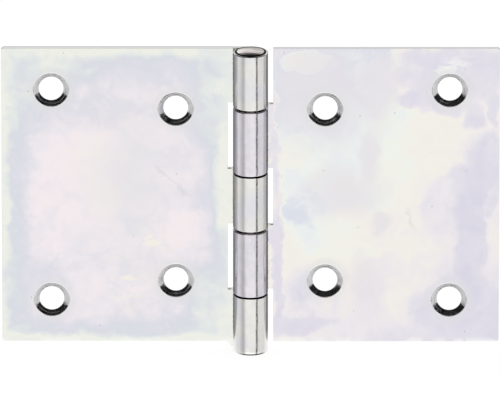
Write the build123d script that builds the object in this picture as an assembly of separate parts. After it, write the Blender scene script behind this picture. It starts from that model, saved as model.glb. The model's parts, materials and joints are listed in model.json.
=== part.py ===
from build123d import *
from math import acos, degrees
import os

# A butt hinge rolled from sheet steel, opened flat: two leaves and the fixed pin that joins them.
# The pin stands along Z, with the origin at the middle of its length. The leaves reach out along X.
# Their backs, which lie against the door and its frame, face +Y, and the barrel stands out towards -Y.
# All sizes are in millimetres.

# The two leaves
leaf_height = 50.0
open_width = 80.0
sheet_thickness = 1.0
corner_radius = 0.4
back_edge_round = 0.25      # rolled-over edge along the back of a leaf
front_edge_break = 0.1      # dulled edge along the front of a leaf and in the mouths of the bore

# The barrel, which the knuckles of both leaves make up in turn
barrel_radius = 2.8
barrel_overhang = 0.87      # how far the lowest knuckle stands out below the leaf
upper_knuckle = 9.2         # lengths of the left leaf's knuckles; the lowest takes up the rest of the barrel
middle_knuckle = 9.35
broad_knuckle = 10.9        # length of each of the right leaf's two knuckles
gap_above_knuckle = 0.28    # the right leaf hangs low in its end play
gap_below_knuckle = 0.12
barrel_end_round = 0.12     # rolled-over rims at the two ends of the barrel
knuckle_edge_break = 0.15   # dulled rims where two knuckles meet
notch_clearance = 0.85      # from the barrel to the edge of the leaf across from it
curl_gap = 0.2              # from the end of the curl to the front of its own leaf

# The pin
pin_clearance = 0.05
head_radius = 2.5
head_height = 0.3
head_rim = 0.04

# The countersunk screw holes, two pairs in each leaf
hole_radius = 2.0
countersink_radius = 2.85
countersink_angle = 100.0
outer_hole_reach = 32.0     # from the pin's axis
outer_hole_spacing = 35.8
inner_hole_reach = 12.0
inner_hole_spacing = 29.3

# Sizes and heights that follow from the ones above
bore_radius = barrel_radius - sheet_thickness
pin_radius = bore_radius - pin_clearance
leaf_reach = open_width / 2
notch_edge = barrel_radius + notch_clearance
barrel_length = leaf_height + barrel_overhang
barrel_top = barrel_length / 2
notch_height = gap_above_knuckle + broad_knuckle + gap_below_knuckle
left_leaf_middle = barrel_overhang / 2
right_leaf_middle = left_leaf_middle - (gap_above_knuckle - gap_below_knuckle) / 2
front_of_leaf = Plane(origin=(0, bore_radius, 0), x_dir=(1, 0, 0), z_dir=(0, -1, 0))


def round_rim(edges):
    """Finishes the rim at an end of the barrel."""
    fillet(edges, barrel_end_round)


def break_rim(edges):
    """Finishes the rim where a knuckle meets the next one."""
    chamfer(edges, knuckle_edge_break)


def rolled_knuckle(bottom, top, finish_bottom, finish_top):
    """A tab of the left leaf, from the edge of the leaf round the pin and back, between two heights."""
    curl_angle = degrees(acos((bore_radius - curl_gap) / barrel_radius))
    wrap_angle = 360 - curl_angle
    with BuildPart() as knuckle:
        with BuildSketch(Plane.XY.offset(bottom)):
            with BuildLine():
                Line((-notch_edge, barrel_radius), (0, barrel_radius))
                outside = CenterArc((0, 0), barrel_radius, 90, -wrap_angle)
                inside = CenterArc((0, 0), bore_radius, 90 + curl_angle, wrap_angle)
                Line(outside @ 1, inside @ 0)
                Line((0, bore_radius), (-notch_edge, bore_radius))
                Line((-notch_edge, bore_radius), (-notch_edge, barrel_radius))
            make_face()
        extrude(amount=top - bottom)
        for end, finish_rim in ((Axis.Z, finish_top), (-Axis.Z, finish_bottom)):
            outline = knuckle.faces().sort_by(end)[-1].edges()
            outer_arc = outline.filter_by(GeomType.CIRCLE).sort_by(SortBy.RADIUS)[-1]
            back_line = outline.filter_by(GeomType.LINE).sort_by(Axis.Y)[-1]
            finish_rim([outer_arc, back_line])
            outline = knuckle.faces().sort_by(end)[-1].edges()
            bore_arc = outline.filter_by(GeomType.CIRCLE).sort_by(SortBy.RADIUS)[0]
            front_line = outline.filter_by(Axis.X).sort_by(Axis.Y)[0]
            chamfer([bore_arc, front_line], front_edge_break)
    return knuckle.part


def flat_leaf(middle):
    """The flat of the left leaf, up to the edge that faces the barrel, which is left square."""
    with BuildPart() as flat:
        with BuildSketch(front_of_leaf):
            with Locations(((-leaf_reach - notch_edge) / 2, middle)):
                Rectangle(leaf_reach - notch_edge, leaf_height)
        extrude(amount=-sheet_thickness)
        fillet(flat.edges().filter_by(Axis.Y).group_by(Axis.X)[0], corner_radius)
        back_outline = flat.faces().sort_by(Axis.Y)[-1].edges().sort_by(Axis.X)
        fillet(back_outline[:-1], back_edge_round)
        front_outline = flat.faces().sort_by(Axis.Y)[0].edges().sort_by(Axis.X)
        chamfer(front_outline[:-1], front_edge_break)
    return flat.part


def left_hand_leaf(middle, knuckles):
    """A leaf that reaches out towards -X: the flat, its rolled knuckles and its screw holes."""
    holes = [
        (-reach, middle + side * spacing / 2)
        for reach, spacing in ((outer_hole_reach, outer_hole_spacing), (inner_hole_reach, inner_hole_spacing))
        for side in (1, -1)
    ]
    with BuildPart() as leaf:
        add(flat_leaf(middle))
        for knuckle in knuckles:
            add(rolled_knuckle(*knuckle))
        with Locations(front_of_leaf):
            with Locations(*holes):
                CounterSinkHole(hole_radius, countersink_radius, sheet_thickness, countersink_angle)
    return leaf.part


def peened_pin():
    """The pin, turned about its axis, with a low domed head peened over at each end."""
    rim_height = barrel_top + head_rim
    tip_height = barrel_top + head_height
    dome_rise = head_height - head_rim
    dome_radius = (head_radius**2 + dome_rise**2) / (2 * dome_rise)
    with BuildPart() as pin:
        with BuildSketch(Plane.XZ):
            with BuildLine():
                Polyline((0, 0), (pin_radius, 0), (pin_radius, barrel_top), (head_radius, barrel_top),
                         (head_radius, rim_height))
                RadiusArc((head_radius, rim_height), (0, tip_height), -dome_radius)
                Line((0, tip_height), (0, 0))
            make_face()
        revolve(axis=Axis.Z)
        mirror(about=Plane.XY)
    return pin.part


# The left leaf's three knuckles, from the top down, each with the finish of its lower and upper rim
middle_top = barrel_top - upper_knuckle - notch_height
lowest_top = middle_top - middle_knuckle - notch_height
left_knuckles = (
    (barrel_top - upper_knuckle, barrel_top, break_rim, round_rim),
    (middle_top - middle_knuckle, middle_top, break_rim, break_rim),
    (-barrel_top, lowest_top, round_rim, break_rim),
)

# The right leaf's two knuckles stand on the middle and the lowest knuckle of the left leaf
right_knuckles = [
    (seat + gap_below_knuckle, seat + gap_below_knuckle + broad_knuckle, break_rim, break_rim)
    for seat in (middle_top, lowest_top)
]

three_knuckle_leaf = left_hand_leaf(left_leaf_middle, left_knuckles)
two_knuckle_leaf = left_hand_leaf(right_leaf_middle, right_knuckles).mirror(Plane.YZ)
hinge_pin = peened_pin()

os.makedirs("parts", exist_ok=True)
export_step(three_knuckle_leaf, "parts/three_knuckle_leaf.step")
export_step(two_knuckle_leaf, "parts/two_knuckle_leaf.step")
export_step(hinge_pin, "parts/hinge_pin.step")
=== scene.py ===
import json
import math

import bmesh
import bpy
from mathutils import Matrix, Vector


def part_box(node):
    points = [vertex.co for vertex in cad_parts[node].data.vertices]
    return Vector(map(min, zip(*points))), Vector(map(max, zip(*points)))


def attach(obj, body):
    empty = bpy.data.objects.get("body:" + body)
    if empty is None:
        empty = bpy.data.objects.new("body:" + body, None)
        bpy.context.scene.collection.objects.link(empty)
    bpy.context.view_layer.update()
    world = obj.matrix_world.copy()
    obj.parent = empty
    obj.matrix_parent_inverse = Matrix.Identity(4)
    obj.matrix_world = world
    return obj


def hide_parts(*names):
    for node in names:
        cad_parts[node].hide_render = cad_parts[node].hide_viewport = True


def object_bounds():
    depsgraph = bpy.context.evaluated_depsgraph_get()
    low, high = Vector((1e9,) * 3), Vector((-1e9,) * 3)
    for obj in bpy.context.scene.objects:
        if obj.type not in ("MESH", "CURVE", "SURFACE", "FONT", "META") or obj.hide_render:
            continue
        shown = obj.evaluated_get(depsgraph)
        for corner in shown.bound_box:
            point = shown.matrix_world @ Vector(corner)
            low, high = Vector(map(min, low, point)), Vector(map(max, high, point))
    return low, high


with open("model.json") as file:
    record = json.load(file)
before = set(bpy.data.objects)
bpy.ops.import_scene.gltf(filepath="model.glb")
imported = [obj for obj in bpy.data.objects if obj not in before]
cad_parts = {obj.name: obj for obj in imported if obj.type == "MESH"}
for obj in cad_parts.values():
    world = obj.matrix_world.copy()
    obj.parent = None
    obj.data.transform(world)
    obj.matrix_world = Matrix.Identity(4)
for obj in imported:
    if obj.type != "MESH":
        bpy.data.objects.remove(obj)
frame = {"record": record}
cad_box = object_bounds()

# Three-knuckle leaf: a plate stamped from 1 mm steel sheet, whose three tabs are rolled round the pin.
# Its four screw holes are punched and countersunk while it is flat. It is bright zinc plated, and the
# thin passivation film over the zinc shows pale interference colours, deepest along the margins.
leaf_low, leaf_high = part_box("three_knuckle_leaf")
mounts = {mount["name"]: mount for mount in frame["record"]["mounts"]}
leaf_middle = mounts["left_back"]["pos_m"][2]
leaf_reach = -leaf_low.x
leaf_half_height = leaf_high.z - leaf_middle
barrel_radius = leaf_high.y
barrel_top = leaf_high.z
sheet_thickness = 0.001
bore_radius = barrel_radius - sheet_thickness
notch_clearance = 0.00085
notch_edge = barrel_radius + notch_clearance
curl_gap = 0.0002
curl_steps = 120
upper_knuckle = 0.0092
middle_knuckle = 0.00935
broad_knuckle = 0.0109
gap_above_knuckle = 0.00028
gap_below_knuckle = 0.00012
corner_radius = 0.0004
back_edge_round = 0.00025
barrel_end_round = 0.00012
knuckle_rim_round = 0.0002
front_edge_round = 0.00004
countersink_radius = 0.00285
countersink_rim = 0.00006
countersink_angle = math.radians(100)
hole_segments = 96
square_angle = 1.0      # between two faces of the blank, in radians, past which their edge is a cut one
sharp_angle = math.radians(38)      # between two faces of a piece, past which their edge isn't smoothed
same_place = 1e-7

notch_height = gap_above_knuckle + broad_knuckle + gap_below_knuckle
middle_top = barrel_top - upper_knuckle - notch_height
lowest_top = middle_top - middle_knuckle - notch_height
wrap_angle = 2 * math.pi - math.acos((bore_radius - curl_gap) / barrel_radius)


def stamped_blank(name, side, middle, knuckles):
    """The flat blank of a leaf before rolling: a tab for each knuckle, and edges marked for rounding."""
    bottom = middle - leaf_half_height
    top = middle + leaf_half_height
    curl_length = wrap_angle * barrel_radius
    last_column = curl_length - 1.5 * knuckle_rim_round
    columns = [-leaf_reach, -notch_edge, -barrel_radius]
    columns += [last_column * step / curl_steps for step in range(curl_steps + 1)] + [curl_length]
    rows = sorted({bottom, top, *(height for knuckle in knuckles for height in knuckle)})
    outline = bmesh.new()
    corners = {}

    def corner(column, row):
        if (column, row) not in corners:
            corners[column, row] = outline.verts.new((side * column, barrel_radius, row))
        return corners[column, row]

    for near, far in zip(columns, columns[1:]):
        for lower, upper in zip(rows, rows[1:]):
            height = (lower + upper) / 2
            on_plate = far <= -notch_edge and bottom < height < top
            on_tab = far > -notch_edge and any(low < height < high for low, high in knuckles)
            if on_plate or on_tab:
                outline.faces.new((
                    corner(near, lower), corner(far, lower), corner(far, upper), corner(near, upper)))

    front = bmesh.ops.extrude_face_region(outline, geom=outline.faces[:])["geom"]
    for vertex in front:
        if isinstance(vertex, bmesh.types.BMVert):
            vertex.co.y -= sheet_thickness
    bmesh.ops.recalc_face_normals(outline, faces=outline.faces[:])
    outer_corners = [
        edge for edge in outline.edges
        if all(abs(abs(vertex.co.x) - leaf_reach) < same_place for vertex in edge.verts)
        and abs(edge.verts[0].co.z - edge.verts[1].co.z) < same_place
        and edge.calc_face_angle(0) > square_angle
    ]
    bmesh.ops.bevel(outline, geom=outer_corners, offset=corner_radius, segments=6, profile=0.5,
                    affect="EDGES")

    rounding = outline.edges.layers.float.new("bevel_weight_edge")
    outer_rows = (bottom, top, -barrel_top, barrel_top)
    for edge in outline.edges:
        one, other = (vertex.co for vertex in edge.verts)
        if abs(one.y - other.y) > same_place or edge.calc_face_angle(0) < square_angle:
            continue
        on_outer_row = any(abs((one.z + other.z) / 2 - row) < corner_radius for row in outer_rows)
        on_plate = side * (one.x + other.x) / 2 < -notch_edge
        if one.y < barrel_radius - sheet_thickness / 2:
            radius = front_edge_round
        elif on_plate:
            radius = back_edge_round
        elif on_outer_row:
            radius = barrel_end_round
        else:
            radius = knuckle_rim_round
        edge[rounding] = radius / back_edge_round
    mesh = bpy.data.meshes.new(name)
    outline.to_mesh(mesh)
    outline.free()
    blank = bpy.data.objects.new(name, mesh)
    bpy.context.scene.collection.objects.link(blank)
    bevel = blank.modifiers.new("rounded edges", "BEVEL")
    bevel.limit_method = "WEIGHT"
    bevel.width = back_edge_round
    bevel.segments = 3
    bevel.use_clamp_overlap = False
    return blank


class Wire:
    """An output in a node tree. Sums and products of wires add the Math nodes for them."""

    def __init__(self, tree, socket=None):
        self.tree = tree
        self.socket = socket

    def node(self, kind, inputs, output=0, stops=(), **settings):
        """Adds a node: its settings first, then the values or links of its sockets. Gives one output."""
        made = self.tree.nodes.new(kind)
        for setting, value in settings.items():
            setattr(made, setting, value)
        for place, (position, colour) in enumerate(stops):
            ramp = made.color_ramp.elements
            stop = ramp[place] if place < len(ramp) else ramp.new(position)
            stop.position = position
            stop.color = colour
        for key, value in inputs.items():
            if isinstance(value, Wire):
                self.tree.links.new(value.socket, made.inputs[key])
            else:
                made.inputs[key].default_value = value
        return Wire(self.tree, made.outputs[output]) if made.outputs else None

    def output(self, key):
        return Wire(self.tree, self.socket.node.outputs[key])

    def math(self, operation, *values):
        return self.node("ShaderNodeMath", dict(enumerate((self,) + values)), operation=operation)

    def __add__(self, other):
        return self.math("ADD", other)

    def __radd__(self, other):
        return self.math("ADD", other)

    def __sub__(self, other):
        return self.math("SUBTRACT", other)

    def __rsub__(self, other):
        return self.math("MULTIPLY", -1.0).math("ADD", other)

    def __mul__(self, other):
        return self.math("MULTIPLY", other)

    def __rmul__(self, other):
        return self.math("MULTIPLY", other)

    def __truediv__(self, other):
        return self.math("DIVIDE", other)

    def __abs__(self):
        return self.math("ABSOLUTE")

    def __pow__(self, other):
        return self.math("POWER", other)

    def rise(self, start, end):
        """0 up to start and 1 from end on, with a smooth step between them."""
        inputs = {"Value": self, "From Min": start, "From Max": end}
        return self.node("ShaderNodeMapRange", inputs, interpolation_type="SMOOTHSTEP")

    def mixed(self, one, other):
        """A colour from one, where this wire is 0, to the other, where it is 1."""
        return self.node("ShaderNodeMix", {"Factor": self, 6: one, 7: other}, output=2, data_type="RGBA")


def leaf_tree():
    """Geometry nodes that countersink a blank's screw holes and then roll its tabs into knuckles."""
    tree = bpy.data.node_groups.new("countersunk and rolled leaf", "GeometryNodeTree")
    tree.interface.new_socket("Geometry", in_out="OUTPUT", socket_type="NodeSocketGeometry")
    tree.interface.new_socket("Geometry", in_out="INPUT", socket_type="NodeSocketGeometry")
    for size in (
        "Side", "Barrel radius", "Sheet thickness", "Leaf middle",
        "Hole radius", "Countersink radius", "Countersink depth", "Countersink rim",
        "Outer reach", "Outer spacing", "Inner reach", "Inner spacing",
    ):
        tree.interface.new_socket(size, in_out="INPUT", socket_type="NodeSocketFloat")
    for finish in ("Plate finish", "Knuckle finish"):
        tree.interface.new_socket(finish, in_out="INPUT", socket_type="NodeSocketMaterial")
    given = Wire(tree).node("NodeGroupInput", {})
    side = given.output("Side")
    radius = given.output("Barrel radius")
    thickness = given.output("Sheet thickness")
    middle = given.output("Leaf middle")
    hole = given.output("Hole radius")
    sink = given.output("Countersink radius")
    rim = given.output("Countersink rim")

    # The tool that cuts a hole: a broken rim, the cone of the countersink and the straight hole behind it
    proud = rim * 2
    tool = given.node("GeometryNodeMeshCone", {
        "Vertices": hole_segments, "Radius Bottom": sink + rim * 6, "Radius Top": sink, "Depth": proud + rim})
    end = tool.output("Top")
    for depth, narrowing in ((given.output("Countersink depth"), hole / sink), (thickness * 2, 1.0)):
        tool = given.node("GeometryNodeExtrudeMesh", {
            "Mesh": tool, "Selection": end, "Offset Scale": depth, "Individual": False})
        end = tool.output("Top")
        tool = given.node("GeometryNodeScaleElements", {
            "Geometry": tool, "Selection": end, "Scale": narrowing})
    tool = given.node("GeometryNodeTransform", {"Geometry": tool, "Rotation": (-math.pi / 2, 0, 0)})
    places = []
    for pair in ("Outer", "Inner"):
        reach = given.output(f"{pair} reach") * side
        half = given.output(f"{pair} spacing") / 2
        front = radius - thickness - proud
        lower = given.node("ShaderNodeCombineXYZ", {0: reach, 1: front, 2: middle - half})
        upper = given.node("ShaderNodeCombineXYZ", {0: reach, 1: front, 2: middle + half})
        places.append(given.node("GeometryNodeMeshLine", {
            "Count": 2, "Start Location": lower, "Offset": upper}, mode="END_POINTS"))
    points = given.node("GeometryNodeJoinGeometry", {})
    for place in places:
        tree.links.new(place.socket, points.socket.node.inputs[0])
    tools = given.node("GeometryNodeInstanceOnPoints", {"Points": points, "Instance": tool})
    tools = given.node("GeometryNodeRealizeInstances", {"Geometry": tools})
    leaf = given.node("GeometryNodeMeshBoolean", {"Mesh 1": given, "Mesh 2": tools},
                      operation="DIFFERENCE", solver="EXACT")

    # The roll: what lies past the pin's axis on the blank goes round it, with the blank's back outside
    place = given.node("GeometryNodeInputPosition", {})
    flat = given.node("ShaderNodeSeparateXYZ", {0: place})
    along = flat * side * -1.0
    turn = along.math("MAXIMUM", 0.0) / radius
    from_axis = flat.output(1)
    rolled = along.math("MINIMUM", 0.0) + from_axis * turn.math("SINE")
    place = given.node("ShaderNodeCombineXYZ", {
        0: rolled * side * -1.0, 1: from_axis * turn.math("COSINE"), 2: flat.output(2)})
    leaf = given.node("GeometryNodeSetPosition", {"Geometry": leaf, "Position": place})

    angle = given.node("GeometryNodeInputMeshEdgeAngle", {})
    sharp = given.node("FunctionNodeCompare", {0: angle, 1: sharp_angle}, operation="GREATER_THAN")
    leaf = given.node("GeometryNodeSetShadeSmooth", {"Geometry": leaf, "Shade Smooth": True}, domain="FACE")
    leaf = given.node("GeometryNodeSetShadeSmooth", {
        "Geometry": leaf, "Selection": sharp, "Shade Smooth": False}, domain="EDGE")
    leaf = given.node("GeometryNodeRealizeInstances", {"Geometry": leaf})
    leaf = given.node("GeometryNodeSetMaterial", {
        "Geometry": leaf, "Material": given.output("Plate finish")})
    place = given.node("GeometryNodeInputPosition", {})
    across = abs(given.node("ShaderNodeSeparateXYZ", {0: place}))
    on_barrel = given.node("FunctionNodeCompare", {0: across, 1: radius}, operation="LESS_THAN")
    leaf = given.node("GeometryNodeSetMaterial", {
        "Geometry": leaf, "Selection": on_barrel, "Material": given.output("Knuckle finish")})
    given.node("NodeGroupOutput", {"Geometry": leaf})
    return tree


rolling = leaf_tree()


def rolled_leaf(node, side, prefix, knuckles, plate_finish, knuckle_finish):
    """A leaf made from its blank by the rolling tree, standing for the CAD node of the same body."""
    middle = mounts[f"{prefix}_back"]["pos_m"][2]
    leaf = stamped_blank(f"{node}_rolled", -side, middle, knuckles)
    outer = mounts[f"{prefix}_outer_screws"]
    inner = mounts[f"{prefix}_inner_screws"]
    hole_radius = outer["dims"]["hole_r_mm"] / 1000
    sizes = {
        "Side": side, "Leaf middle": middle,
        "Barrel radius": barrel_radius, "Sheet thickness": sheet_thickness,
        "Hole radius": hole_radius, "Countersink radius": countersink_radius,
        "Countersink depth": (countersink_radius - hole_radius) / math.tan(countersink_angle / 2),
        "Countersink rim": countersink_rim,
        "Outer reach": abs(outer["pos_m"][0]), "Outer spacing": outer["dims"]["spacing_y_mm"] / 1000,
        "Inner reach": abs(inner["pos_m"][0]), "Inner spacing": inner["dims"]["spacing_y_mm"] / 1000,
        "Plate finish": plate_finish, "Knuckle finish": knuckle_finish,
    }
    modifier = leaf.modifiers.new("rolling", "NODES")
    modifier.node_group = rolling
    for item in rolling.interface.items_tree:
        if item.name in sizes:
            modifier[item.identifier] = sizes[item.name]
    normals = leaf.modifiers.new("flat faces stay flat", "WEIGHTED_NORMAL")
    normals.weight = 100
    normals.keep_sharp = True
    depsgraph = bpy.context.evaluated_depsgraph_get()
    mesh = bpy.data.meshes.new_from_object(leaf.evaluated_get(depsgraph), depsgraph=depsgraph)
    leaf.modifiers.clear()
    mesh.materials.pop(index=0)  # the bare blank's empty slot
    leaf.data = mesh
    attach(leaf, node)
    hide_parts(node)
    return leaf


def srgb(red, green, blue):
    """A colour as seen on a screen, from 0 to 255, in the linear values that shaders take."""
    return tuple(((value / 255 + 0.055) / 1.055) ** 2.4 for value in (red, green, blue)) + (1.0,)


def zinc_shader(wire, colour, roughness, relief, glance):
    """Bright zinc: a metal coloured by its film, with its own share of the light at a glance."""
    normal = wire.node("ShaderNodeBump", {"Height": relief, "Distance": relief_height, "Strength": 0.5})
    return wire.node("ShaderNodeBsdfPrincipled", {
        "Base Color": colour, "Metallic": 1.0, "Roughness": roughness, "Normal": normal,
        "Specular Tint": (glance, glance, glance, 1.0)})


relief_height = 0.00002
halo_grey = srgb(224, 224, 224)
cone_grey = srgb(217, 216, 217)
# a dark grey that is painted as shade on the knuckles and round the pin's heads
painted_shade_grey = srgb(45, 42, 41)
burnished_grey = srgb(197, 196, 197)
torn_grey = srgb(117, 113, 116)
drained_white = srgb(249, 249, 246)
knuckle_lilac = srgb(222, 221, 230)


def pool(x, z, place, size, steepness=1.0):
    """1 at a place where the bath stood on the leaf, falling off to 0 around it, all in millimetres."""
    across = (x - place[0]) / size[0]
    along = (z - place[1]) / size[1]
    return ((across * across + along * along) ** steepness * -1.0).math("EXPONENT")


def pooled(x, z, around, steepness, pools):
    """The film's thickness: in each pool that dried there the pool's own, and elsewhere that around them.

    A pool is given by its middle, its half width and half height in millimetres, and its thickness, on the
    scale of the leaf's own order of film colours. The pools were set to look like the photo's.
    """
    weight = 0.2  # of the thickness around the pools
    total = around * weight
    for place, size, thickness in pools:
        share = pool(x, z, place, size, steepness)
        total = total + share * thickness
        weight = share + weight
    return total / weight


def blank_finish(name):
    """A new material, with the place on the object that its pattern is laid out by."""
    material = bpy.data.materials.new(name)
    material.use_nodes = True
    material.node_tree.nodes.clear()
    wire = Wire(material.node_tree)
    place = wire.node("ShaderNodeTexCoord", {}, output="Object")
    return material, wire, place, wire.node("ShaderNodeSeparateXYZ", {0: place})


def noise(wire, place, scale, detail, **more):
    """Noise laid out by a place, from 0 to 1 and mostly about the middle between them."""
    return wire.node("ShaderNodeTexNoise", {"Vector": place, "Scale": scale, "Detail": detail, **more})


def sheet_relief(wire, place, waviness):
    """The fine grain of the zinc, and the slow waves of the sheet below it."""
    return noise(wire, place, 2600.0, 2.0) + noise(wire, place, 420.0, 1.0) * waviness


def zinc_plate(name, middle, film, wander, film_order, bare_shade, mark_shade, scratch):
    """The finish of a leaf: zinc under a passivation film, whose thickness gives the colour at each place."""
    material, wire, place, axes = blank_finish(name)
    across = axes * 1000.0
    above = (axes.output(2) - middle) * 1000.0
    drift = wire.node("ShaderNodeSeparateColor", {0: noise(wire, place, 180.0, 3.0).output(1)})
    mottle = noise(wire, place, 800.0, 4.0, Roughness=0.65)
    x = across + (drift - 0.5) * wander + (mottle - 0.5) * 0.9
    z = above + (drift.output(1) - 0.5) * wander + (mottle - 0.5) * 0.5
    thickness, depth, marks = film(x, z)
    patches = noise(wire, place, 270.0, 2.0, Distortion=0.6)
    thickness = thickness + (patches.rise(0.3, 0.7) - 0.5) * 0.1 + (mottle - 0.5) * 0.12
    colour = wire.node("ShaderNodeValToRGB", {0: thickness}, stops=film_order)
    colour = depth.mixed(bare_shade, colour)

    # Small pale marks lie across the leaf where drops dried
    stretched = wire.node("ShaderNodeMapping", {"Vector": place, "Scale": (320.0, 320.0, 900.0)})
    drops = noise(wire, stretched, 1.0, 1.0)
    colour = (drops.rise(0.48, 0.58) * marks).mixed(colour, mark_shade)

    # In front, the film is thinner and greyer round the countersinks, where the sheet was worked last, and
    # the tool that cut them left their cones greyer still, with a few rough places. The holes of the two
    # leaves mirror each other, so those of the left leaf give the places for both
    depth_in_sheet = axes.output(1) * 1000.0 - bore_radius * 1000
    front_side = 1.0 - depth_in_sheet.rise(0.75, 0.9)
    from_holes = []
    for screws in ("left_outer_screws", "left_inner_screws"):
        aside = abs(across) - abs(mounts[screws]["pos_m"][0]) * 1000
        along = abs(above) - mounts[screws]["dims"]["spacing_y_mm"] / 2
        from_holes.append((aside * aside + along * along).math("SQRT"))
    from_hole = from_holes[0].math("MINIMUM", from_holes[1])
    halo = 1.0 - (from_hole + (mottle - 0.5) * 1.5).rise(3.0, 4.6)
    colour = (halo * front_side * 0.5).mixed(colour, halo_grey)
    cone_edge = countersink_radius * 1000
    cone = (1.0 - from_hole.rise(cone_edge - 0.05, cone_edge)) * front_side
    colour = cone.mixed(colour, cone_grey)
    tool_mark = 1.0 - abs(from_hole + (mottle - 0.5) * 0.5 - 2.4).rise(0.03, 0.14)
    rough_places = (mottle.rise(0.52, 0.62) * 0.14 + tool_mark * drift.rise(0.42, 0.52) * 0.26) * cone

    # The cut edge is bright towards the front, where the punch burnished it, and dull behind, where it tore
    cut = depth_in_sheet.rise(0.03, 0.08) * (1.0 - depth_in_sheet.rise(0.93, 0.98))
    cut = cut * from_hole.rise(3.0, 3.2)
    colour = cut.mixed(colour, depth_in_sheet.rise(0.5, 0.6).mixed(burnished_grey, torn_grey))

    # The lower margin drained last and stayed palest
    margin = 1.0 - (above + leaf_half_height * 1000).rise(0.0, 1.0)
    colour = (margin * patches.rise(0.4, 0.6) * 0.6).mixed(colour, drained_white)

    # A scratch runs across the film in front, from one place to another, and specks of dirt lie on it
    (start_x, start_z), (end_x, end_z) = scratch
    length = math.hypot(end_x - start_x, end_z - start_z)
    lean_x = (end_x - start_x) / length
    lean_z = (end_z - start_z) / length
    right = across - start_x
    over = above - start_z
    along = (right * lean_x + over * lean_z) / length
    aside = abs(right * lean_z - over * lean_x + (drift - 0.5) * 4.0 + (mottle - 0.5) * 1.2)
    scored = (1.0 - aside.rise(0.05, 0.5)) * along.rise(0.0, 0.25) * (1.0 - along.rise(0.7, 1.0))
    front = wire.node("ShaderNodeCombineXYZ", {0: axes, 1: axes.output(2)})
    cells = wire.node("ShaderNodeTexVoronoi", {"Vector": front, "Scale": 170.0}, voronoi_dimensions="2D")
    chance = wire.node("ShaderNodeSeparateColor", {0: cells.output("Color")})
    specks = (1.0 - cells.rise(0.006, 0.026)) * chance.rise(0.6, 0.95)
    colour = (scored * front_side * 0.08).math("MAXIMUM", specks * 0.5).mixed(colour, torn_grey)

    relief = sheet_relief(wire, place, 1.5) + mottle * cone * 3.0
    plate = zinc_shader(wire, colour, 0.07 + mottle * 0.1 + rough_places, relief, 0.8)
    wire.node("ShaderNodeOutputMaterial", {"Surface": plate})
    return material


def knuckle_zinc(name, shades):
    """The finish of a leaf's knuckles, where the rolling stretched the film to one streaky colour."""
    material, wire, place, axes = blank_finish(name)
    height = axes.output(2)
    mottle = noise(wire, place, 800.0, 4.0, Roughness=0.65)
    stretched = wire.node("ShaderNodeMapping", {"Vector": place, "Scale": (900.0, 900.0, 110.0)})
    streaks = noise(wire, stretched, 1.0, 3.0)
    colour = (streaks * 0.5 + mottle * 0.5).rise(0.35, 0.65).mixed(*shades)
    patches = noise(wire, place, 180.0, 1.6)
    colour = (patches.rise(0.45, 0.62) * 0.6).mixed(colour, knuckle_lilac)

    # The barrel's lower rim is painted dark in front as shade, and painted shade also lies round the pin's
    # heads and in the two narrow joints, where the knuckles of one leaf stand on those of the other
    # painted shade along the front of the barrel's lower rim
    painted_foot_shade = 1.0 - height.rise(-barrel_top + 0.00018, -barrel_top + 0.0003)
    painted_foot_shade = painted_foot_shade * axes.rise(-0.0022, -0.001) * (1.0 - axes.rise(0.0016, 0.0026))
    from_axis = (axes * axes + axes.output(1) * axes.output(1)).math("SQRT") * 1000.0
    # painted shade on the knuckle's end, round the pin's head
    seat = abs(height).rise(barrel_top - 0.00003, barrel_top - 0.00001)
    seat = seat * (1.0 - from_axis.rise(2.5, 2.54))
    painted_shade = painted_foot_shade.math("MAXIMUM", seat)
    # painted shade in the two narrow joints
    for seat_height in (middle_top, lowest_top):
        from_joint = abs(height - seat_height - gap_below_knuckle / 2)
        painted_shade = painted_shade.math("MAXIMUM", (1.0 - from_joint.rise(0.0001, 0.0002)) * 0.9)
    colour = painted_shade.mixed(colour, painted_shade_grey)

    # Painted shade and light: the barrel's sides take a copy of the finish that is dull at a glance, and its
    # foot a copy that is bright
    roughness = 0.07 + mottle * 0.1
    relief = sheet_relief(wire, place, 3.0)
    dull = zinc_shader(wire, colour, roughness, relief, 0.1)
    bright = zinc_shader(wire, colour, roughness, relief, 1.0)
    leaf_foot = leaf_middle - leaf_half_height
    # painted light: the share of the bright copy, highest at the barrel's foot
    painted_foot_light = 1.0 - height.rise(leaf_foot + 0.0003, leaf_foot + 0.0034)
    finish = wire.node("ShaderNodeMixShader", {0: painted_foot_light, 1: dull, 2: bright})
    wire.node("ShaderNodeOutputMaterial", {"Surface": finish})
    return material


left_film_order = (
    (0.00, srgb(237, 237, 232)), (0.08, srgb(239, 240, 231)), (0.16, srgb(229, 233, 231)),
    (0.26, srgb(218, 221, 228)), (0.35, srgb(225, 223, 232)), (0.43, srgb(236, 231, 236)),
    (0.51, srgb(245, 235, 239)), (0.60, srgb(247, 239, 236)), (0.70, srgb(242, 240, 232)),
)


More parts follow.
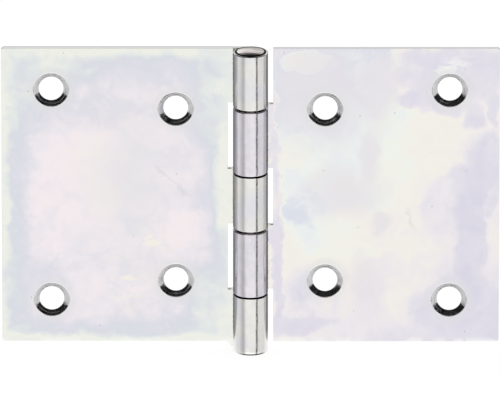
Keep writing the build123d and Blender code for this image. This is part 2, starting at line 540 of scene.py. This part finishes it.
def left_film(x, z):
    """Thin along the margins of the left leaf, where it drained, and thicker inwards, with many pools."""
    half_height = leaf_half_height * 1000
    margin = x + leaf_reach * 1000
    for other in ((half_height - z) * 0.8, z + half_height, x * -1.0 - notch_edge * 1000 - 0.3):
        margin = margin.math("SMOOTH_MIN", other, 1.2)
    thickness = 0.05 + 0.21 * margin.rise(0.5, 2.0) + 0.16 * margin.rise(2.6, 5.6)
    inside = margin.rise(2.6, 5.0)
    thickness = pooled(x, z, thickness, 1.0, (
        ((-36.5, 18.0), (3.5, 5.0), 0.15), ((-5.6, 18.5), (3.5, 6.0), 0.16),
        ((-6.0, -17.0), (2.6, 5.5), 0.16), ((-17.0, 20.5), (11.0, 2.0), 0.36),
        ((-30.4, 1.0), (4.2, 9.5), 0.50), ((-26.0, 8.5), (2.6, 3.2), 0.62),
        ((-24.0, 0.5), (2.0, 4.2), 0.65), ((-10.7, 4.5), (3.0, 4.0), 0.45),
        ((-12.3, -6.5), (3.3, 2.6), 0.53), ((-24.0, -16.2), (3.4, 2.6), 0.47),
        ((-17.0, -15.0), (2.2, 2.4), 0.51), ((-26.0, 14.2), (4.5, 2.4), 0.32),
        ((-33.0, -13.0), (3.0, 2.0), 0.27), ((-7.0, -3.4), (1.1, 1.6), 0.47),
        ((-7.8, -9.8), (1.6, 1.8), 0.48), ((-8.3, 0.2), (1.1, 1.8), 0.27),
        ((-7.2, 12.6), (1.2, 2.4), 0.28), ((-5.2, 3.2), (0.9, 3.2), 0.08),
        ((-30.5, 21.4), (4.6, 1.8), 0.08), ((-4.6, -11.0), (1.2, 3.5), 0.24),
        ((-5.2, -20.8), (2.2, 1.6), 0.06), ((-20.0, -23.0), (7.0, 1.0), 0.27),
        ((-26.0, -20.6), (4.0, 1.4), 0.42), ((-38.6, -15.5), (1.0, 3.5), 0.24),
        ((-31.5, -5.5), (2.4, 2.6), 0.52), ((-37.4, 19.8), (1.4, 1.8), 0.26),
        ((-19.5, 21.6), (2.0, 1.0), 0.18),
    ))
    dull = pool(x, z, (-20.0, 3.0), (6.0, 10.0)) + pool(x, z, (-17.0, -13.0), (4.0, 3.0)) * 0.6
    marks = pool(x, z, (-15.6, -7.8), (1.8, 2.2)) + pool(x, z, (-19.8, -15.0), (1.9, 3.6))
    return thickness, 1.0 - inside * (0.1 + dull * 0.7), marks


left_knuckles = [
    (barrel_top - upper_knuckle, barrel_top),
    (middle_top - middle_knuckle, middle_top),
    (-barrel_top, lowest_top),
]
left_zinc = zinc_plate(
    "zinc film of the three-knuckle leaf", leaf_middle, left_film, wander=2.4, film_order=left_film_order,
    bare_shade=srgb(231, 229, 231), mark_shade=srgb(244, 239, 228), scratch=((-16.2, 4.9), (-9.0, -1.3)))
left_knuckle_zinc = knuckle_zinc(
    "rolled zinc of the three knuckles", (srgb(227, 227, 224), srgb(240, 237, 232)))
rolled_leaf("three_knuckle_leaf", -1.0, "left", left_knuckles, left_zinc, left_knuckle_zinc)

# Two-knuckle leaf: the other plate, stamped, rolled and plated in the same way.
# Its two broad knuckles turn between those of the first leaf, and hang low in their end play.
# Its film grows from the lower outer corner towards the barrel, as if it had hung another way in the bath.
right_knuckles = [
    (seat + gap_below_knuckle, seat + gap_below_knuckle + broad_knuckle)
    for seat in (middle_top, lowest_top)
]
right_film_order = (
    (0.00, srgb(219, 216, 230)), (0.14, srgb(227, 224, 233)), (0.27, srgb(236, 232, 236)),
    (0.40, srgb(242, 237, 233)), (0.50, srgb(242, 241, 233)), (0.60, srgb(239, 242, 237)),
    (0.69, srgb(234, 238, 239)), (0.79, srgb(220, 224, 234)), (0.88, srgb(230, 228, 234)),
)


def right_film(x, z):
    """Thin at the right leaf's lower outer corner and thick by the top of the barrel, with many pools."""
    thickness = pooled(x, z, 0.666 - (x * 0.622 - z * 0.783) * 0.0135, 2.0, (
        ((16.6, 19.0), (2.2, 3.0), 0.73), ((24.5, 20.8), (2.0, 1.6), 0.12),
        ((33.5, 20.5), (7.5, 4.6), 0.02), ((29.5, 9.8), (4.6, 3.0), 0.44),
        ((38.5, 6.0), (2.2, 4.5), 0.03), ((23.5, 7.0), (2.4, 5.0), 0.58), ((6.6, 7.5), (2.4, 2.2), 0.49),
        ((15.3, 5.8), (2.8, 2.0), 0.66), ((8.6, -2.0), (3.0, 2.7), 0.79),
        ((8.8, -6.8), (2.4, 2.6), 0.74), ((14.5, -7.8), (4.0, 2.4), 0.53),
        ((20.4, -0.2), (2.4, 2.6), 0.57), ((25.5, -8.5), (4.0, 4.5), 0.39),
        ((30.5, -2.5), (2.2, 4.5), 0.18), ((35.6, -6.0), (2.4, 13.0), 0.0),
        ((39.0, -7.8), (0.9, 3.2), 0.36), ((32.0, -19.0), (5.5, 4.0), 0.06),
        ((23.6, -17.0), (1.5, 5.0), 0.38), ((6.6, -11.5), (1.6, 5.0), 0.47),
        ((8.4, -16.0), (2.6, 3.0), 0.04), ((9.8, -19.2), (3.6, 0.9), 0.26),
        ((8.0, -21.6), (4.5, 1.6), 0.0), ((27.0, 23.6), (3.4, 1.5), 0.04),
        ((26.6, 16.4), (2.8, 1.4), 0.06), ((30.8, 15.2), (2.8, 1.5), 0.05),
        ((39.4, 15.0), (0.8, 2.6), 0.10), ((33.4, 3.2), (1.8, 2.8), 0.05),
        ((36.0, 13.8), (1.8, 2.2), 0.05), ((39.2, -1.5), (0.8, 2.2), 0.10),
        ((18.6, -9.8), (2.8, 1.4), 0.56), ((8.4, 22.8), (3.4, 1.3), 0.46),
        ((4.3, -12.0), (0.8, 11.0), 0.03), ((3.5, 8.5), (0.7, 9.0), 0.10),
    ))
    dull = pool(x, z, (18.8, -15.8), (3.0, 5.0), 2.0) + pool(x, z, (21.0, 18.5), (3.2, 6.5), 2.0)
    dull = dull + pool(x, z, (15.0, 0.2), (6.2, 4.3), 2.0) + pool(x, z, (11.2, 17.0), (8.8, 9.0), 2.0)
    dull = dull + pool(x, z, (19.7, 6.8), (1.7, 4.0), 2.0) + pool(x, z, (20.8, -4.8), (1.6, 1.8), 2.0)
    marks = pool(x, z, (31.5, 22.0), (3.5, 1.2))
    return thickness, 1.0 - dull.math("MINIMUM", 1.0) * 0.8, marks


right_middle = mounts["right_back"]["pos_m"][2]
right_zinc = zinc_plate(
    "zinc film of the two-knuckle leaf", right_middle, right_film, wander=6.0, film_order=right_film_order,
    bare_shade=srgb(230, 226, 231), mark_shade=srgb(243, 243, 242), scratch=((24.8, -1.5), (26.6, -6.5)))
right_knuckle_zinc = knuckle_zinc(
    "rolled zinc of the two knuckles", (srgb(216, 213, 221), srgb(233, 229, 234)))
rolled_leaf("two_knuckle_leaf", 1.0, "right", right_knuckles, right_zinc, right_knuckle_zinc)

# Hinge pin: drawn steel wire, pushed through all five knuckles and peened over at both ends.
# The peening flattens each end into a low domed head, and scuffs the zinc on it.
pin_low, pin_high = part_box("hinge_pin")
pin_clearance = 0.00005
pin_radius = bore_radius - pin_clearance
head_radius = pin_high.x
head_rim = 0.00004
pin_segments = 96
dome_steps = 16


def peened_pin(name):
    """The pin as a turned shape, from the middle of one head to the middle of the other."""
    dome_rise = pin_high.z - barrel_top - head_rim
    dome_radius = (head_radius**2 + dome_rise**2) / (2 * dome_rise)
    rim_lean = math.asin(head_radius / dome_radius)
    upper_half = [(pin_radius, barrel_top), (head_radius, barrel_top)]
    for step in range(dome_steps):
        lean = rim_lean * (1 - step / dome_steps)
        upper_half.append((dome_radius * math.sin(lean), pin_high.z - dome_radius * (1 - math.cos(lean))))
    profile = [(radius, -height) for radius, height in reversed(upper_half)] + upper_half
    turned = bmesh.new()
    rings = []
    for radius, height in profile:
        ring = []
        for step in range(pin_segments):
            turn = 2 * math.pi * step / pin_segments
            ring.append(turned.verts.new((radius * math.cos(turn), radius * math.sin(turn), height)))
        rings.append(ring)
    for lower, upper in zip(rings, rings[1:]):
        for step in range(pin_segments):
            following = (step + 1) % pin_segments
            turned.faces.new((lower[step], lower[following], upper[following], upper[step]))
    for ring, tip in ((rings[0], pin_low.z), (rings[-1], pin_high.z)):
        centre = turned.verts.new((0.0, 0.0, tip))
        for step in range(pin_segments):
            turned.faces.new((ring[step], ring[(step + 1) % pin_segments], centre))
    bmesh.ops.recalc_face_normals(turned, faces=turned.faces[:])
    for face in turned.faces:
        face.smooth = True
    for edge in turned.edges:
        edge.smooth = edge.calc_face_angle(0) < sharp_angle
    mesh = bpy.data.meshes.new(name)
    turned.to_mesh(mesh)
    turned.free()
    pin = bpy.data.objects.new(name, mesh)
    bpy.context.scene.collection.objects.link(pin)
    return pin


def scuffed_zinc():
    """Zinc with hammer scuffs across it, and painted shade round the edge of the heads."""
    material, wire, place, axes = blank_finish("scuffed zinc of the pin")
    stretched = wire.node("ShaderNodeMapping", {"Vector": place, "Scale": (300.0, 2600.0, 900.0)})
    scuffs = noise(wire, stretched, 1.0, 4.0)
    colour = scuffs.rise(0.35, 0.65).mixed(srgb(178, 170, 167), srgb(246, 241, 239))
    from_axis = (axes * axes + axes.output(1) * axes.output(1)).math("SQRT") / head_radius
    roughness = 0.05 + scuffs * 0.08
    top = zinc_shader(wire, colour, roughness, scuffs, 0.4)
    # painted shade: a dark copy of the finish, dull at a glance, lies round the edge of the heads
    edge = zinc_shader(wire, painted_shade_grey, roughness, scuffs, 0.02)
    finish = wire.node("ShaderNodeMixShader", {0: from_axis.rise(0.82, 0.92), 1: top, 2: edge})
    wire.node("ShaderNodeOutputMaterial", {"Surface": finish})
    return material


pin = peened_pin("hinge_pin_peened")
pin.data.materials.append(scuffed_zinc())
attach(pin, "three_knuckle_leaf")
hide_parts("hinge_pin")

# Floor and light: a plain pale sheet of paper in a soft white tent that is open and dark above.
# The floor is hidden from reflections, which show the tent's lower half in its place.
floor_reach = 3.0
paper_white = 0.8
glow_strength = 1.05
glow_share = 0.9
floor_height = cad_box[0].z
floor_corners = [
    (x * floor_reach, y * floor_reach, floor_height) for x, y in ((-1, -1), (1, -1), (1, 1), (-1, 1))
]
floor_mesh = bpy.data.meshes.new("floor")
floor_mesh.from_pydata(floor_corners, [], [(0, 1, 2, 3)])
floor = bpy.data.objects.new("floor", floor_mesh)
bpy.context.scene.collection.objects.link(floor)
floor.visible_glossy = False
paper = bpy.data.materials.new("pale paper")
paper.use_nodes = True
paper.node_tree.nodes.clear()
board = Wire(paper.node_tree)
matte = board.node("ShaderNodeBsdfDiffuse", {"Color": (paper_white, paper_white, paper_white, 1.0)})
lit = board.node("ShaderNodeEmission", {"Color": (1.0, 1.0, 1.0, 1.0), "Strength": glow_strength})
blend = board.node("ShaderNodeMixShader", {0: glow_share, 1: matte, 2: lit})
board.node("ShaderNodeOutputMaterial", {"Surface": blend})
floor_mesh.materials.append(paper)

world = bpy.data.worlds.new("soft tent")
world.use_nodes = True
world.node_tree.nodes.clear()
bpy.context.scene.world = world
sky = Wire(world.node_tree)
direction = sky.node("ShaderNodeSeparateXYZ", {0: sky.node("ShaderNodeTexCoord", {}, output="Generated")})
behind = direction.output(1)
ahead = behind * -1.0
up = direction.output(2)
down = up * -1.0
bearing = direction.math("ARCTAN2", ahead) * (180 / math.pi)

# The cloth is white and a little darker at the sides. A narrow black flag to the right and a broad grey one
# to the left give the barrel its stripes.
tent = 1.0 - abs(bearing).rise(22.0, 45.0) * 0.14
right_flag = 1.0 - abs(bearing - 43.0).rise(0.5, 8.5)
left_flag = bearing.rise(-85.0, -48.0) * (1.0 - bearing.rise(-47.0, -32.0))
tent = tent * (1.0 - right_flag * 0.95) * (1.0 - left_flag * 0.34)

# The cloth is lit more behind the hinge, both low down and above it, and in two bands low in front
rear = abs(bearing).rise(95.0, 125.0) * down.rise(0.1, 0.25)
backdrop = behind.rise(0.5, 0.9) * up.rise(0.08, 0.2)
brim = up.rise(-0.28, -0.14) * (1.0 - up.rise(-0.05, 0.0)) * ahead.rise(0.4, 0.6)
skirt = down.rise(0.42, 0.52) * ahead.rise(0.2, 0.4)
tent = tent * (1.0 + rear * 0.25) * (1.0 + backdrop * 0.7 + brim * 0.35 + skirt * 0.35)

# The tent is open at the top, and in front and at the sides down to the horizon, around a white door
door = (1.0 - up.rise(0.36, 0.46)) * (1.0 - abs(bearing).rise(38.0, 50.0))
opening = up.rise(-0.02, 0.05) * ahead.rise(-0.5, -0.2) * (1.0 - door)
opening = opening.math("MAXIMUM", up.rise(0.4, 0.58))
beneath = down.rise(0.9, 0.96)
tent = tent * (1.0 - opening * 0.975) * (1.0 - beneath * 0.28)
path = sky.node("ShaderNodeLightPath", {}, output="Is Camera Ray")
plain = path.math("MAXIMUM", path.output("Is Diffuse Ray"))
level = plain + (1.0 - plain) * tent
glow = sky.node("ShaderNodeBackground", {"Color": (1.0, 1.0, 1.0, 1.0), "Strength": level})
sky.node("ShaderNodeOutputWorld", {"Surface": glow})

# Camera: a long lens straight in front of the hinge, looking down on it a little.
# The picture's middle lies just below the middle of the left leaf's height.
view_rise = math.radians(19.8)
picture_width = 0.0804
picture_shift = -0.00008
picture_drop = 0.00081
camera_data = bpy.data.cameras.new("camera")
camera_data.sensor_width = 36.0
camera_data.lens = 1200.0
camera = bpy.data.objects.new("camera", camera_data)
bpy.context.scene.collection.objects.link(camera)
bpy.context.scene.camera = camera
forward = Vector((0.0, math.cos(view_rise), -math.sin(view_rise)))
upward = Vector((0.0, math.sin(view_rise), math.cos(view_rise)))
target = Vector((picture_shift, bore_radius, leaf_middle)) - upward * picture_drop
distance = picture_width * camera_data.lens / camera_data.sensor_width
camera.location = target - forward * distance
camera.rotation_euler = (math.pi / 2 - view_rise, 0.0, 0.0)
camera_data.clip_end = 20.0
bpy.context.scene.view_settings.view_transform = "Standard"
